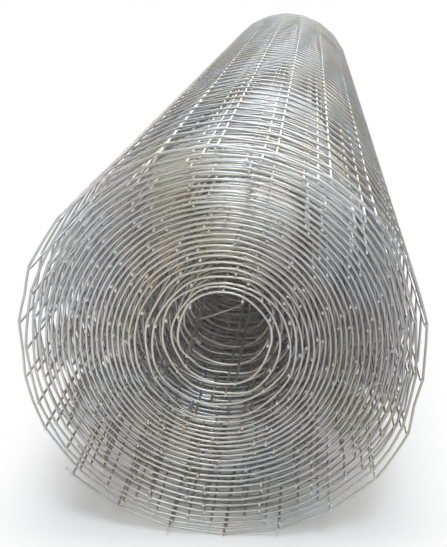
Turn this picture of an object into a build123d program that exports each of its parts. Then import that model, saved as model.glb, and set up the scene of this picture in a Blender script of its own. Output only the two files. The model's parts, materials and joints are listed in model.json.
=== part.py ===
from build123d import *
import os
from math import cos, radians, sin, sqrt

# A roll of square welded wire mesh that lies on its side, with its axis along Y.
# The origin is on the floor, under the middle of the roll, and the photographed end faces -Y.
# The open mesh is one turned solid, and the turns of the sheet stand free at both ends.
# Seen from the photographed end, the sheet winds outwards clockwise.

# Driving dimensions, in millimetres
mesh_pitch = 25.4  # from wire to wire, along the roll and around it
wire_diameter = 1.2
wire_overhang = 3.0  # cut ends of the cross wires, past the edge wires
roll_diameter = 188.0
bore_diameter = 44.0  # clear width of the hollow core
bore_rise = 6.0  # the core lies this far above the roll's own axis
bore_clearance = 0.5  # from the core's wall to the innermost turn
cut_overrun = 5.0

# Counts, and angles in degrees from +X towards +Z
cells_across = 48  # mesh openings from edge wire to edge wire
turn_count = 26
bends_per_turn = 23  # the sheet bends at its cross wires, and the outer turn has this many
outer_end_angle = 224.0  # where the sheet's free outer end lies
full_turn = 360.0
overrun_share = 0.003  # of a turn, past the outer end

# Lengths along the roll
roll_length = cells_across * mesh_pitch + 2 * wire_overhang
end_offset = roll_length / 2
gap_depth = wire_overhang + mesh_pitch  # open as far as the second ring of wires

# Sizes across the roll
roll_radius = roll_diameter / 2
bore_radius = bore_diameter / 2
wire_radius = wire_diameter / 2
bore_height = roll_radius + bore_rise

# The sheet's middle starts round the core and ends flush with the outside
first_reach = bore_radius + bore_clearance + wire_radius
last_reach = roll_radius - wire_radius
turn_spacing = (last_reach - first_reach) / turn_count

# Each turn is nearer to the roll's own axis than the turn inside it
turn_drop = bore_rise / turn_count

# The outer end stands one turn above the sheet under it
lap_step = turn_spacing + turn_drop + wire_radius
lap_reach = sqrt(roll_radius**2 - (roll_radius - lap_step) ** 2)


def sheet_corner(turns, wire_offset):
    """A point of the rolled sheet, this many turns from its inner end and this far off its middle."""
    angle = radians(outer_end_angle - full_turn * turns)
    reach = first_reach + turn_spacing * turns + wire_offset
    return (reach * cos(angle), bore_height - turn_drop * turns + reach * sin(angle))


def sheet_side(turns, wire_offset):
    """One side of the rolled sheet, from its inner end to just past this many turns."""
    bends = [bend / bends_per_turn for bend in range(turns * bends_per_turn + 1)]
    return [sheet_corner(place, wire_offset) for place in bends + [turns + overrun_share]]


with BuildPart() as mesh_roll:
    # Turned body, around the roll's own axis
    with BuildSketch(Plane.XY.offset(roll_radius)) as half_section:
        Rectangle(roll_radius, roll_length, align=(Align.MIN, Align.CENTER))
    revolve(axis=Axis((0, 0, roll_radius), (0, 1, 0)))

    # Hollow core, right through
    with BuildSketch(Plane.XZ) as core_section:
        with Locations((0, bore_height)):
            Circle(bore_radius)
    extrude(amount=end_offset + cut_overrun, both=True, mode=Mode.SUBTRACT)

    # Step along the roll where the sheet's outer end lies on the turn below
    with BuildSketch(Plane.XZ) as lap_section:
        with Locations((0, roll_radius)):
            with PolarLocations(roll_radius - lap_step, 1, start_angle=outer_end_angle):
                Rectangle(lap_step + cut_overrun, lap_reach + cut_overrun, align=(Align.MIN, Align.MAX))
    extrude(amount=end_offset + cut_overrun, both=True, mode=Mode.SUBTRACT)

    # Open gap between the turns at each end, one spiral from the core to the outer end
    for outward in (1, -1):
        with BuildSketch(Plane.XZ.offset(outward * (end_offset + cut_overrun))) as turn_gap:
            with BuildLine():
                inner_face = sheet_side(turn_count, -wire_radius)
                outer_face = sheet_side(turn_count - 1, wire_radius)
                Polyline(*inner_face, *reversed(outer_face), close=True)
            make_face()
        extrude(amount=-outward * (gap_depth + cut_overrun), mode=Mode.SUBTRACT)

mesh_roll.part.label = "mesh_roll"

os.makedirs("parts", exist_ok=True)
export_step(mesh_roll.part, "parts/mesh_roll.step")
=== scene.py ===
import json

import bpy
import numpy as np
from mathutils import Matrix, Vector


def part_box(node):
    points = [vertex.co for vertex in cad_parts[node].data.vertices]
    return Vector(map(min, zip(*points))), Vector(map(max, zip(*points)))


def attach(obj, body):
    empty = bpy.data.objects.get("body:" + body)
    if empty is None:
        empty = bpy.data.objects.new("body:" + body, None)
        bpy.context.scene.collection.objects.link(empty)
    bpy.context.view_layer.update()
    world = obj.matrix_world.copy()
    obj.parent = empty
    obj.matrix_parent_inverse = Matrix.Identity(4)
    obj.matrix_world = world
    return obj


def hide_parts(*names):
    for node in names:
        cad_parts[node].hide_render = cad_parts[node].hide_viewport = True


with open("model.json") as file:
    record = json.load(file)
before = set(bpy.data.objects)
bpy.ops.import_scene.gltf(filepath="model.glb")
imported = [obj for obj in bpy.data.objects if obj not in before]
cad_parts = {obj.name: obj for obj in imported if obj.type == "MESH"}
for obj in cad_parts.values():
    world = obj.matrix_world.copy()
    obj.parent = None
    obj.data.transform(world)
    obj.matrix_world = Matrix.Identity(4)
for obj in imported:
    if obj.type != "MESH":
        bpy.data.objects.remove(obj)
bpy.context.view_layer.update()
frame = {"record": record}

# A roll of welded wire mesh, wire by wire: line wires wind round the roll and cross wires run along it.
# Lengths are in metres where no other unit is named. Angles are in degrees from +X towards +Z, as seen
# from the photographed end, and turns are counted from the sheet's inner end.
MM = 0.001
full_turn = 360
low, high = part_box("mesh_roll")
core = next(mount for mount in frame["record"]["mounts"] if mount["name"] == "core_bore")
roll_radius = (high.x - low.x) / 2
axis_height = (high.z + low.z) / 2
roll_length = high.y - low.y
core_rise = core["pos_m"][2] - axis_height

# Wires of the sheet
wire = 1.2 * MM
pitch = 25.4 * MM  # from line wire to line wire, along the roll
cross_pitch = 26.7 * MM  # from cross wire to cross wire, round the roll
set_down = 0.15 * MM  # how far the weld presses two wires into each other
line_count = 49
turn_count = 26
inner_end_angle = 212.0
outer_end_angle = 219.4
inner_cut = 6.0 * MM  # free ends of the line wires, past the first and the last cross wire
outer_cut = 4.0 * MM
overhang = 3.0 * MM  # free ends of the cross wires in the CAD, past the edge wires
more_overhang = 0.6 * MM
overhang_spread = 0.5 * MM
overhang_bend = 0.15 * MM
width = roll_length - 2 * overhang

# The loose turns round the core: degrees wound from the inner end, clockwise as photographed,
# and millimetres from the middle of the core
hub_wound = [
    -16, 0, 5, 12, 22, 42, 62, 82, 102, 122, 142, 172, 182, 197, 212, 227, 247, 262, 272, 287, 302,
    317, 332, 357, 372, 387, 397, 407, 422, 432, 442, 456, 467, 482, 497, 507, 517, 524, 542, 552,
    562, 572, 592, 607, 617, 632, 642, 652, 662, 677, 687, 702, 717, 737, 752, 762, 777, 785, 794,
    807, 820, 832, 842, 857, 872, 887, 897, 907, 917, 932, 942, 954, 967, 982, 992, 1007, 1022, 1037,
    1052, 1077, 1087, 1097, 1107, 1117, 1127, 1142, 1157, 1172, 1182, 1192, 1202, 1212, 1222, 1232,
    1247, 1262, 1272, 1282, 1292, 1307, 1320, 1337, 1352, 1367, 1382, 1394, 1402, 1412, 1427, 1442,
    1452, 1462, 1477, 1487, 1497, 1507, 1517, 1527, 1537, 1547, 1562, 1592, 1607, 1627, 1652, 1672,
    1692, 1712, 1727, 1742, 1757, 1772, 1787, 1802, 1812, 1827, 1837, 1847, 1857, 1872,
]
hub_reach = [
    16.2, 17.3, 17.8, 18.9, 19.5, 19.5, 20.0, 20.9, 21.7, 21.8, 22.0, 22.3, 22.8, 24.1, 23.7, 23.2,
    23.7, 24.5, 24.3, 23.4, 22.9, 22.1, 21.7, 21.0, 21.3, 22.2, 22.5, 22.3, 21.8, 21.9, 22.5, 23.8,
    24.1, 23.7, 23.6, 24.1, 24.7, 25.4, 25.5, 25.8, 26.5, 27.6, 28.3, 28.7, 29.5, 30.3, 29.4, 27.8,
    27.0, 27.5, 27.5, 26.3, 25.6, 26.0, 26.4, 26.2, 26.8, 27.4, 27.0, 25.8, 25.3, 25.3, 25.6, 26.2,
    26.7, 27.7, 29.0, 30.3, 30.5, 31.5, 32.7, 34.2, 33.5, 32.7, 32.8, 33.2, 32.8, 33.4, 33.2, 33.3,
    33.2, 32.0, 31.0, 30.3, 29.7, 28.8, 28.3, 28.7, 29.0, 28.7, 28.6, 28.9, 29.7, 30.8, 31.3, 32.0,
    33.4, 34.4, 34.8, 35.7, 36.9, 37.3, 38.2, 39.6, 39.1, 39.9, 40.6, 38.8, 37.0, 36.2, 34.9, 34.3,
    34.0, 33.3, 32.6, 32.5, 33.2, 33.5, 32.7, 32.2, 32.6, 33.0, 34.0, 35.3, 37.3, 39.2, 41.0, 41.5,
    42.0, 41.4, 42.0, 41.3, 41.0, 40.8, 40.4, 39.3, 38.8, 38.0, 37.3, 36.7,
]

# The even turns outside them, by turn: millimetres from the roll's axis, and how far they lie up
# and are flattened
even_turns = [5.35, 6, 7.5, 10.5, 13.5, 17.5, 20.5, 22.5, 24.5, 26]
even_reach = [39.9, 41.5, 45.2, 52.4, 59.7, 70.1, 78.4, 84.2, 89.7, 93.4]
lean_turns = [5, 7.5, 10.5, 13.5, 17.5, 20.5, 22.5, 24]
lean_up = [2.0, 2.0, 2.4, 2.8, 1.9, 0.9, 0.3, 0.0]
lean_flat = [0.0, 0.1, 0.15, 0.2, 0.6, 0.1, 0.0, 0.0]
first_even = 5.5
past_even = 26.2
even_step = 1 / 24

# Sag and spring, in millimetres: of the last turn, by degrees back from the sheet's outer end,
# and of the loose turns under it, by the angle, fading out between two places further back
last_back = [
    5, 13, 21, 35, 60, 75, 84, 90, 102, 111, 117, 126, 136, 141, 149, 155, 205, 265, 295, 298, 305,
    313, 324, 338, 350, 365,
]
last_sizes = [
    2.2, 1.4, 0.8, 0.3, 0.3, 1.0, 1.3, 1.6, 2.3, 2.1, 1.8, -0.4, 0.0, 0.4, 1.1, 1.2, 1.5, 1.9, 2.1,
    2.4, 1.0, 1.4, 0.1, 1.2, 1.0, 0.6,
]
under_angles = [0, 20, 45, 90, 150, 180, 200, 224, 240, 270, 300, 315, 330, 343, 352, 360]
under_sizes = [-1.2, -0.8, 0.3, 0.8, 0.6, 0.8, 0.8, 0.6, 0.4, -0.2, 0.5, 0.8, 1.4, 0.0, -0.8, -1.2]
under_fade = [900, 2000]

# By turn: the least room from turn to turn and the height of the waves, in millimetres,
# and how straight the sheet runs between its cross wires
least_turns = [0, 4, 7, 26]
least_room = [1.3, 1.5, 2.15, 2.2]
loose_turns = [0, 4, 6, 18, 22, 26]
loose_sizes = [0.12, 0.15, 0.12, 0.12, 0.30, 0.45]
flat_turns = [0, 5, 8, 18, 22, 24, 26]
flat_shares = [0.10, 0.12, 0.20, 0.25, 0.40, 0.70, 0.95]
most_dip = 0.85 * MM  # of a cell's middle, below its cross wires
dip_low = 0.7  # least and most of a dip that a cell has, at random
dip_high = 1.15

# Random waves of the sheet, and its slip along the roll: from turn to turn, and within a turn
wave_count = 7
least_wave = 0.35
turn_slip = 0.5 * MM
near_slip = 0.25 * MM


def waves(turns, along, per_turn, per_metre, seed):
    """Smooth random waves over the sheet, about one unit high."""
    rng = np.random.default_rng(seed)
    total = 0.0
    for _ in range(wave_count):
        around = rng.uniform(least_wave, 1.0) * per_turn
        down = rng.uniform(-1.0, 1.0) * per_metre
        total = total + np.sin(2 * np.pi * (turns * around + along * down + rng.uniform()))
    return total / np.sqrt(wave_count)


# One line through all turns: turns wound, and distance from the roll's axis, smoothed over a few points
points_per_turn = 360
bell_width = 5.0
bell_reach = 15
hub_angle = np.radians(inner_end_angle - np.array(hub_wound, float))
hub_x = np.array(hub_reach) * MM * np.cos(hub_angle)
hub_z = np.array(hub_reach) * MM * np.sin(hub_angle) + core_rise
hub_turns = -np.unwrap(np.arctan2(hub_z, hub_x)) / (2 * np.pi)
start_angle = -full_turn * hub_turns[0]
total_turns = turn_count + (start_angle % full_turn - outer_end_angle) / full_turn
hub_turns = hub_turns - hub_turns[0]
fine_turns = np.arange(int(total_turns * points_per_turn) + 1) / points_per_turn


def turn_angle(turns):
    """The angle, in radians, at which the sheet is after this many turns."""
    return np.radians(start_angle - full_turn * turns)


even_from = np.arange(first_even, past_even, even_step)
even_line = np.interp(even_from, even_turns, even_reach) * MM
even_line += np.interp(even_from, lean_turns, lean_up) * MM * np.sin(turn_angle(even_from))
even_line += np.interp(even_from, lean_turns, lean_flat) * MM * np.cos(2 * turn_angle(even_from))
known_turns = np.concatenate([hub_turns, even_from])
known_reach = np.concatenate([np.hypot(hub_x, hub_z), even_line])
fine_reach = np.interp(fine_turns, known_turns, known_reach)
bell = np.exp(-0.5 * (np.arange(-bell_reach, bell_reach + 1) / bell_width) ** 2)
fine_reach = np.convolve(np.pad(fine_reach, bell_reach, "edge"), bell / bell.sum(), "valid")

# The loose outer turns, and then room for every turn outside the turn before it
back = (total_turns - fine_turns) * full_turn
last = np.interp(back, last_back, last_sizes)
under = np.interp(np.degrees(turn_angle(fine_turns)) % full_turn, under_angles, under_sizes)
under *= np.interp(back, under_fade, [1, 0])
fine_reach = fine_reach + np.where(back < full_turn, last, under) * MM
least = np.interp(fine_turns, least_turns, least_room) * MM
for point in range(points_per_turn, len(fine_turns)):
    fine_reach[point] = max(fine_reach[point], fine_reach[point - points_per_turn] + least[point])


def base_reach(turns):
    """Distance of the sheet from the roll's axis, before its bends and waves."""
    return np.interp(turns, fine_turns, fine_reach)


# Cross wires sit evenly along the sheet, and a little closer where the second turn comes up from the
# floor: there, counted back from the outer end, the cells up to the last close one have less room
first_close = 22
last_close = 33
close_room = 32.7
dip_seed = 5
fine_x = fine_reach * np.cos(turn_angle(fine_turns))
fine_z = fine_reach * np.sin(turn_angle(fine_turns))
fine_run = np.concatenate([[0], np.cumsum(np.hypot(np.diff(fine_x), np.diff(fine_z)))])
mesh_run = fine_run[-1] - inner_cut - outer_cut
cell_count = round(mesh_run / cross_pitch)
known_cells = [0, first_close, last_close, cell_count]
known_runs = [0, first_close * cross_pitch, close_room * cross_pitch, mesh_run]
run_back = np.interp(np.arange(cell_count, -1, -1), known_cells, known_runs)
cross_runs = inner_cut + mesh_run - run_back
cross_turns = np.interp(cross_runs, fine_run, fine_turns)

# A straight cell's middle lies below the turn's curve by its length squared over 8 radii
cell_rng = np.random.default_rng(dip_seed)
cell_dip = pitch**2 / 8 / base_reach(cross_turns) * np.interp(cross_turns, flat_turns, flat_shares)
cell_dip = np.minimum(cell_dip, most_dip) * cell_rng.uniform(dip_low, dip_high, cross_turns.shape)
rounding = 1e-6


def sheet(turns, along):
    """Points of the rolled sheet, from the turns wound and the place along the roll."""
    run = np.interp(turns, fine_turns, fine_run)
    place = np.interp(run, cross_runs, np.arange(cell_count + 1))
    cell = np.clip(np.floor(place + rounding).astype(int), 0, cell_count - 1)
    share = np.clip(place - cell, 0, 1)
    loose = np.interp(turns, loose_turns, loose_sizes) * MM
    reach = base_reach(turns) - cell_dip[cell] * 4 * share * (1 - share)
    reach = reach + loose * waves(turns, along, per_turn=2.4, per_metre=0.7, seed=11)
    angle = turn_angle(turns)
    x = reach * np.cos(angle)
    z = np.maximum(axis_height + reach * np.sin(angle), wire / 2)
    slip = turn_slip * waves(turns, along * 0, per_turn=0.35, per_metre=0, seed=21)
    slip = slip + near_slip * waves(turns, along, per_turn=1.7, per_metre=2.0, seed=22)
    return x, along + slip, z


# The map for baked colours, one unit wide and, before it is scaled, one unit high for each row:
# the rows are at the left, and the tubes' round ends at the right
rows_width = 0.96
row_top = 0.9
row_height = 0.8
start_middle = 0.973
end_middle = 0.99
half_wide = 0.007
half_high = 0.4


def map_places(count, rings, sides, rows):
    """Each corner's place on the map, with every tube cut into this many rows."""
    numbers = np.arange(count), np.arange(rings - 1), np.arange(sides)
    tube, ring, side = np.meshgrid(*numbers, indexing="ij")
    per_row = -(-(rings - 1) // rows)
    row = tube * rows + ring // per_row
    along = rows_width * ((ring % per_row)[..., None] + [0, 0, 1, 1]) / per_row
    around = row[..., None] + row_top - row_height * (side[..., None] + [0, 1, 1, 0]) / sides
    places = [np.stack([along, around], -1).reshape(-1, 2)]
    turn = 2 * np.pi * np.arange(sides) / sides
    first_rows = np.stack([np.zeros(count), np.arange(count) * rows], -1)
    for middle, facing in ((start_middle, -1), (end_middle, 1)):
        end_along = middle + facing * half_wide * np.cos(turn)
        round_end = np.stack([end_along, 0.5 + half_high * np.sin(turn)], -1)[::facing]
        places.append((round_end[None] + first_rows[:, None]).reshape(-1, 2))
    return np.concatenate(places) / [1, count * rows]


def tubes(name, points, across, beside, radius, sides, rows):
    """One mesh of closed tubes. points, across and beside are (tubes, rings, 3) arrays."""
    count, rings, _ = points.shape
    turn = 2 * np.pi * np.arange(sides) / sides
    skin = points[:, :, None, :] + radius * (
        np.cos(turn)[None, None, :, None] * across[:, :, None, :]
        + np.sin(turn)[None, None, :, None] * beside[:, :, None, :]
    )
    verts = skin.reshape(-1, 3)
    numbers = np.arange(count), np.arange(rings - 1), np.arange(sides)
    tube, ring, side = np.meshgrid(*numbers, indexing="ij")
    here = (tube * rings + ring) * sides
    there = here + sides
    after = (side + 1) % sides
    quads = np.stack([here + side, here + after, there + after, there + side], -1).reshape(-1, 4)
    first = np.arange(count)[:, None] * rings * sides
    start_caps = first + np.arange(sides)[::-1][None, :]
    end_caps = first + (rings - 1) * sides + np.arange(sides)[None, :]
    loops = np.concatenate([quads.ravel(), start_caps.ravel(), end_caps.ravel()]).astype(np.int32)
    sizes = np.concatenate([np.full(len(quads), 4), np.full(2 * count, sides)])
    starts = np.concatenate([[0], np.cumsum(sizes)[:-1]]).astype(np.int32)
    smooth = np.concatenate([np.ones(len(quads), bool), np.zeros(2 * count, bool)])
    mesh = bpy.data.meshes.new(name)
    mesh.vertices.add(len(verts))
    mesh.vertices.foreach_set("co", verts.astype(np.float32).ravel())
    mesh.loops.add(len(loops))
    mesh.loops.foreach_set("vertex_index", loops)
    mesh.polygons.add(len(sizes))
    mesh.polygons.foreach_set("loop_start", starts)
    mesh.polygons.foreach_set("use_smooth", smooth)
    mesh.update(calc_edges=True)
    mesh.validate()
    bake_map = mesh.uv_layers.new(name="OFBake")
    places = map_places(count, rings, sides, rows)
    bake_map.data.foreach_set("uv", places.astype(np.float32).ravel())
    piece = bpy.data.objects.new(name, mesh)
    bpy.context.collection.objects.link(piece)
    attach(piece, "root")
    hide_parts("mesh_roll")
    return piece


# The third line wire's inner end is long, and is sprung across the core
sprung_wire = 2
sprung_end = np.array([(8.0, 99.6), (-3.0, 95.5), (-13.0, 91.8)]) * MM
inner_stations = len(sprung_end)


def line_stations(step):
    """Turns at which a line wire gets a ring of points: its free ends, each weld, and evenly between."""
    stations = [np.linspace(0, cross_turns[0], inner_stations, endpoint=False)]
    for start, end in zip(cross_turns[:-1], cross_turns[1:]):
        parts = max(2, int(np.ceil((end - start) * full_turn / step)))
        stations.append(np.linspace(start, end, parts, endpoint=False))
    stations.append(np.array([cross_turns[-1], fine_turns[-1]]))
    return np.concatenate(stations)


def line_wires(name, numbers, step, sides, rows):
    """Line wires of these numbers, each wound from the core to the outside."""
    turns = line_stations(step)[None, :]
    along = (-width / 2 + pitch * np.asarray(numbers))[:, None]
    x, y, z = sheet(turns, along)
    points = np.stack(np.broadcast_arrays(x, y, z), -1)
    for row, number in enumerate(numbers):
        if number == sprung_wire:
            points[row, :inner_stations, 0] = sprung_end[:, 0]
            points[row, :inner_stations, 2] = sprung_end[:, 1]
    tangent = np.gradient(points, axis=1)
    across = np.stack([tangent[..., 2], np.zeros_like(tangent[..., 0]), -tangent[..., 0]], -1)
    across /= np.linalg.norm(across, axis=2, keepdims=True)
    tangent /= np.linalg.norm(tangent, axis=2, keepdims=True)
    return tubes(name, points, across, np.cross(across, tangent), wire / 2, sides, rows)


def cross_wires(name, turns, sides, parts, seed):
    """Cross wires at these turns, on the inner side of the line wires."""
    rng = np.random.default_rng(seed)
    near, far = overhang + more_overhang + rng.normal(0, overhang_spread, (2, len(turns)))
    share = np.linspace(0, 1, parts + 1)[None, :]
    along = np.broadcast_to(width * (share - 0.5), (len(turns), parts + 1))
    x, y, z = sheet(turns[:, None], along)
    angle = turn_angle(turns)[:, None]
    inset = wire - set_down
    points = np.stack([x - inset * np.cos(angle), y, z - inset * np.sin(angle)], -1)
    bend = rng.normal(0, overhang_bend, (2, len(turns), 3))
    tip = points[:, :1] + np.stack([bend[0, :, 0], -near, bend[0, :, 2]], -1)[:, None]
    tail = points[:, -1:] + np.stack([bend[1, :, 0], far, bend[1, :, 2]], -1)[:, None]
    points = np.concatenate([tip, points, tail], 1)
    points[..., 2] = np.maximum(points[..., 2], wire / 2)
    across = np.zeros_like(points)
    across[..., 0] = 1
    beside = np.zeros_like(points)
    beside[..., 2] = -1
    return tubes(name, points, across, beside, wire / 2, sides, 1)


# The line wires at the two ends are finer than those between, which are seen from further off
end_count = 4
fine_wires = {"step": 5.0, "sides": 7, "rows": 25}
plain_wires = {"step": 9.0, "sides": 5, "rows": 13}
plain_pieces = 3
pieces = [
    line_wires("front_line_wires", range(end_count), **fine_wires),
    line_wires("back_line_wires", range(line_count - end_count, line_count), **fine_wires),
]
plain_numbers = np.arange(end_count, line_count - end_count)
for number, group in enumerate(np.array_split(plain_numbers, plain_pieces)):
    pieces.append(line_wires(f"line_wires_{number + 1}", group, **plain_wires))
pieces.append(cross_wires("cross_wires", cross_turns, sides=7, parts=24, seed=31))


# Helpers for materials
def node(tree, kind, **values):
    """A new node of this kind, with these settings."""
    made = tree.nodes.new(kind)
    for key, value in values.items():
        setattr(made, key, value)
    return made


def link(tree, output, made, socket):
    """A link from an output to a node's socket."""
    tree.links.new(output, made.inputs[socket])


def maths(tree, operation, first, second):
    """A maths node on two values."""
    made = node(tree, "ShaderNodeMath", operation=operation)
    link(tree, first, made, 0)
    link(tree, second, made, 1)
    return made.outputs[0]


def vector(tree, operation, value, constant=(0, 0, 0)):
    """A vector maths node on a value and, where the operation takes two, on a constant."""
    made = node(tree, "ShaderNodeVectorMath", operation=operation)
    link(tree, value, made, 0)
    made.inputs[1].default_value = constant
    return made.outputs["Value" if operation == "LENGTH" else "Vector"]


def noise(tree, coordinates, scale, detail, roughness=0.5):
    """Noise with about this many features in a metre."""
    made = node(tree, "ShaderNodeTexNoise")
    made.inputs["Scale"].default_value = scale
    made.inputs["Detail"].default_value = detail
    made.inputs["Roughness"].default_value = roughness
    link(tree, coordinates, made, "Vector")
    return made.outputs["Fac"]


def ramp(tree, value, *stops):
    """Colours by a value, through stops of place and colour."""
    made = node(tree, "ShaderNodeValToRGB")
    points = made.color_ramp.elements
    while len(points) < len(stops):
        points.new(0.5)
    for point, (place, colour) in zip(points, stops):
        point.position = place
        point.color = (*colour, 1)
    link(tree, value, made, "Fac")
    return made.outputs["Color"]


def spread(tree, value, low_in, high_in, low_out, high_out, curve="LINEAR"):
    """A value's range, moved to another range."""
    made = node(tree, "ShaderNodeMapRange", interpolation_type=curve)
    made.inputs["From Min"].default_value = low_in
    made.inputs["From Max"].default_value = high_in
    made.inputs["To Min"].default_value = low_out
    made.inputs["To Max"].default_value = high_out
    link(tree, value, made, "Value")
    return made.outputs["Result"]


def mixed(tree, share, first, second):
    """A mix of two colours, by the share of the second."""
    made = node(tree, "ShaderNodeMix", data_type="RGBA")
    link(tree, share, made, "Factor")
    link(tree, first, made, "A")
    link(tree, second, made, "B")
    return made.outputs["Result"]


# Dull galvanised wire: grey zinc with brighter and duller lengths, and a faint warm stain in places
weathered = (0.60, 0.59, 0.56)
grey = (0.70, 0.695, 0.70)
bluish = (0.80, 0.805, 0.85)
dark_grain = (0.56, 0.56, 0.55)
light_grain = (0.80, 0.80, 0.795)
dark_stain = (0.62, 0.57, 0.44)
light_stain = (0.78, 0.73, 0.60)
zinc = bpy.data.materials.new("zinc_wire")
zinc.use_nodes = True
tree = zinc.node_tree
shader = tree.nodes["Principled BSDF"]
spot = node(tree, "ShaderNodeTexCoord").outputs["Object"]
patches = noise(tree, spot, scale=28, detail=4, roughness=0.6)
grain = noise(tree, spot, scale=420, detail=3, roughness=0.6)
stain = noise(tree, spot, scale=11, detail=5, roughness=0.65)
pits = noise(tree, spot, scale=1100, detail=2)
clean = ramp(tree, patches, (0.30, weathered), (0.50, grey), (0.72, bluish))
grains = ramp(tree, grain, (0.3, dark_grain), (0.7, light_grain))
speckled = mixed(tree, spread(tree, grain, 0.35, 0.7, 0.0, 0.5), clean, grains)
stains = ramp(tree, patches, (0.3, dark_stain), (0.7, light_stain))
tinted = mixed(tree, spread(tree, stain, 0.46, 0.66, 0.0, 0.8), speckled, stains)

# Painted shade: the zinc is darkened at the right of the photographed end, for the shade that falls on
# that side, in a patch that is longest along the roll
painted_shade_place = (0.8 * roll_radius, -roll_length / 2, axis_height)
painted_shade_shape = (1, 0.2, 1)
painted_shade_core = 0.015
painted_shade_edge = 0.07
painted_shade_tone = (0.74, 0.73, 0.74, 1)
from_painted_shade = vector(tree, "MULTIPLY", vector(tree, "SUBTRACT", spot, painted_shade_place), painted_shade_shape)
painted_shade_share = spread(tree, vector(tree, "LENGTH", from_painted_shade), painted_shade_core, painted_shade_edge, 1.0, 0.0)
# The painted shade multiplies the base colour down inside that patch
painted_shade_mix = node(tree, "ShaderNodeMix", data_type="RGBA", blend_type="MULTIPLY")
link(tree, painted_shade_share, painted_shade_mix, "Factor")
link(tree, tinted, painted_shade_mix, "A")
painted_shade_mix.inputs["B"].default_value = painted_shade_tone
link(tree, painted_shade_mix.outputs["Result"], shader, "Base Color")

# Its gloss and fine pits
bump = node(tree, "ShaderNodeBump")
bump.inputs["Strength"].default_value = 0.35
bump.inputs["Distance"].default_value = 0.1 * MM
link(tree, pits, bump, "Height")
link(tree, bump.outputs["Normal"], shader, "Normal")
link(tree, spread(tree, grain, 0.3, 0.7, 0.36, 0.58), shader, "Roughness")
shader.inputs["Metallic"].default_value = 1.0
for piece in pieces:
    piece.data.materials.append(zinc)

# Floor: pale, with the roll's shadow, and white further off
floor_size = 60
floor_colour = (0.82, 0.805, 0.79, 1)
white = (1, 1, 1)
under_edge = 0.03  # the distance from the roll is counted from this far under its sides
bpy.ops.mesh.primitive_plane_add(size=floor_size)
floor = bpy.context.object
floor.name = "floor"
pale = bpy.data.materials.new("pale_floor")
pale.use_nodes = True
tree = pale.node_tree
ground = tree.nodes["Principled BSDF"]
ground.inputs["Base Color"].default_value = floor_colour
ground.inputs["Roughness"].default_value = 0.9
ground.inputs["Specular IOR Level"].default_value = 0.1
outward = vector(tree, "ABSOLUTE", node(tree, "ShaderNodeTexCoord").outputs["Object"])
roll_edge = (roll_radius - under_edge, roll_length / 2 - under_edge, 0)
beyond = vector(tree, "MAXIMUM", vector(tree, "SUBTRACT", outward, roll_edge))
away = vector(tree, "LENGTH", beyond)


def whitened(ray, start, end, least):
    """How white the floor is to this kind of ray, by the distance from the roll."""
    return maths(tree, "MULTIPLY", spread(tree, away, start, end, least, 1.0, "SMOOTHSTEP"), ray)


path = node(tree, "ShaderNodeLightPath").outputs
mirrored = maths(tree, "MAXIMUM", path["Is Glossy Ray"], path["Is Transmission Ray"])
seen_white = whitened(path["Is Camera Ray"], start=0.0, end=0.07, least=0.15)
mirrored_white = whitened(mirrored, start=0.2, end=0.8, least=0.0)
plain_white = node(tree, "ShaderNodeEmission")
plain_white.inputs["Color"].default_value = (*white, 1)
plain_white.inputs["Strength"].default_value = 1.0
either = node(tree, "ShaderNodeMixShader")
link(tree, maths(tree, "MAXIMUM", seen_white, mirrored_white), either, 0)
link(tree, ground.outputs[0], either, 1)
link(tree, plain_white.outputs[0], either, 2)
link(tree, either.outputs[0], tree.nodes["Material Output"], "Surface")
floor.data.materials.append(pale)

# Studio room: white at the horizon, where it meets the floor, dim above and a little lighter overhead
low_wall = (0.14, 0.14, 0.14)
high_wall = (0.12, 0.12, 0.12)
ceiling = (0.24, 0.245, 0.25)
world = bpy.data.worlds.new("studio")
bpy.context.scene.world = world
world.use_nodes = True
sky = world.node_tree
sky.nodes.clear()
facing = node(sky, "ShaderNodeSeparateXYZ")
link(sky, node(sky, "ShaderNodeTexCoord").outputs["Generated"], facing, 0)
room = node(sky, "ShaderNodeBackground")
room.inputs["Strength"].default_value = 1.0
heights = (0.03, white), (0.15, low_wall), (0.5, high_wall), (1.0, ceiling)
dome = ramp(sky, facing.outputs["Z"], *heights)
link(sky, dome, room, "Color")
link(sky, room.outputs[0], node(sky, "ShaderNodeOutputWorld"), "Surface")


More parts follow.
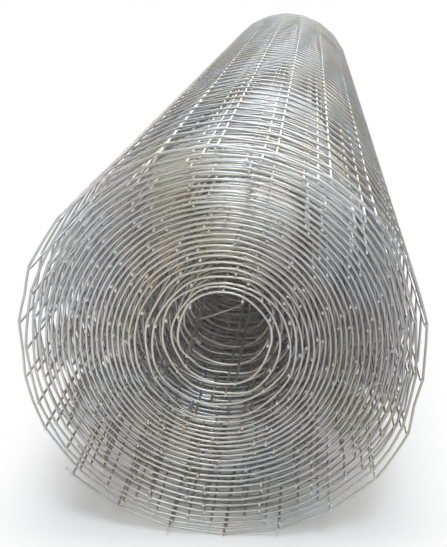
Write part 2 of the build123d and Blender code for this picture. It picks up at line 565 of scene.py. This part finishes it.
def lamp(name, place, target, size, power, colour):
    """A soft lamp that faces a target, with its width and height, and its power in watts."""
    light = bpy.data.lights.new(name, "AREA")
    light.shape = "RECTANGLE"
    light.size, light.size_y = size
    light.energy = power
    light.color = colour
    made = bpy.data.objects.new(name, light)
    bpy.context.collection.objects.link(made)
    made.location = place
    made.rotation_euler = (Vector(target) - Vector(place)).to_track_quat("-Z", "Y").to_euler()
    made.visible_camera = False


# Five soft lamps: one in front of the roll, one at its left, two behind it and one above
cool = (0.82, 0.91, 1.0)
cloudy = (0.95, 0.96, 1.0)
creamy = (1.0, 0.98, 0.95)
warm = (1.0, 0.96, 0.80)
lamp("front", (0.36, -2.0, 2.2), (0, -0.6, 0.1), (0.8, 0.8), 35, cool)
lamp("left", (-1.9, -0.7, 1.4), (0, -0.3, 0.1), (1.2, 1.0), 12, creamy)
lamp("right", (1.5, 2.6, 1.5), (0, 0.2, 0.1), (1.2, 0.8), 38, warm)
lamp("high", (0.3, 0.9, 2.6), (0, 0, 0.1), (4.0, 1.8), 52, cloudy)
lamp("back", (0.0, 3.2, 1.7), (0, 0, 0.1), (3.0, 1.2), 34, cloudy)

# Camera, at the photograph's viewing angle: its place, in roll diameters, from the floor under the near
# edge wires, its two angles in radians and its focal length in pixels
diameter = 2 * roll_radius
camera_right = 0.20797 * diameter
camera_before = 2.49568 * diameter
camera_up = 1.40415 * diameter
look_down = 0.277468170
look_right = -0.0793810543
focal_pixels = 1100
picture_height = 547
sensor = 36
level = np.cos(look_down)
ahead = Vector((np.sin(look_right) * level, np.cos(look_right) * level, -np.sin(look_down)))
camera = bpy.data.objects.new("camera", bpy.data.cameras.new("camera"))
bpy.context.collection.objects.link(camera)
camera.location = (camera_right, -width / 2 - camera_before, camera_up)
camera.rotation_euler = ahead.to_track_quat("-Z", "Y").to_euler()
camera.data.sensor_width = sensor
camera.data.lens = focal_pixels / picture_height * sensor
camera.data.clip_start = 0.01
camera.data.clip_end = 200
bpy.context.scene.camera = camera
bpy.context.scene.view_settings.view_transform = "Standard"
